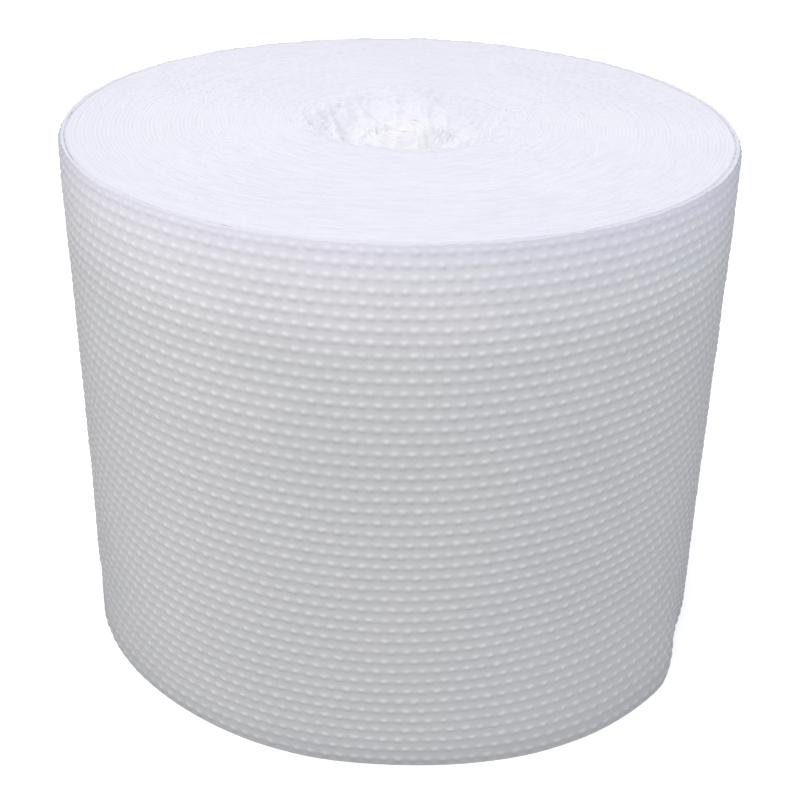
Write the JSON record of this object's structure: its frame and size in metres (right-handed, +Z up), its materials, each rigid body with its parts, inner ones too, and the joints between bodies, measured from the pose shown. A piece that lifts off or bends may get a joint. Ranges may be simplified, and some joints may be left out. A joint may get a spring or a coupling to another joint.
{
  "type": "bubble wrap roll",
  "caption": "Wide roll of small-bubble cushioning film, wound on itself without a core, standing on its end.",
  "frame": {"origin": "middle of the lower end, on the surface that the roll stands on", "axes": "+Z up along the roll's axis; +Y towards the film's free end, at the back"},
  "size_m": [0.5, 0.502, 0.4],
  "materials": {
    "film": "translucent white polyethylene bubble film, soft gloss"
  },
  "bodies": {
    "root": {"bubble_wrap_roll": "film"}
  },
  "joints": []
}
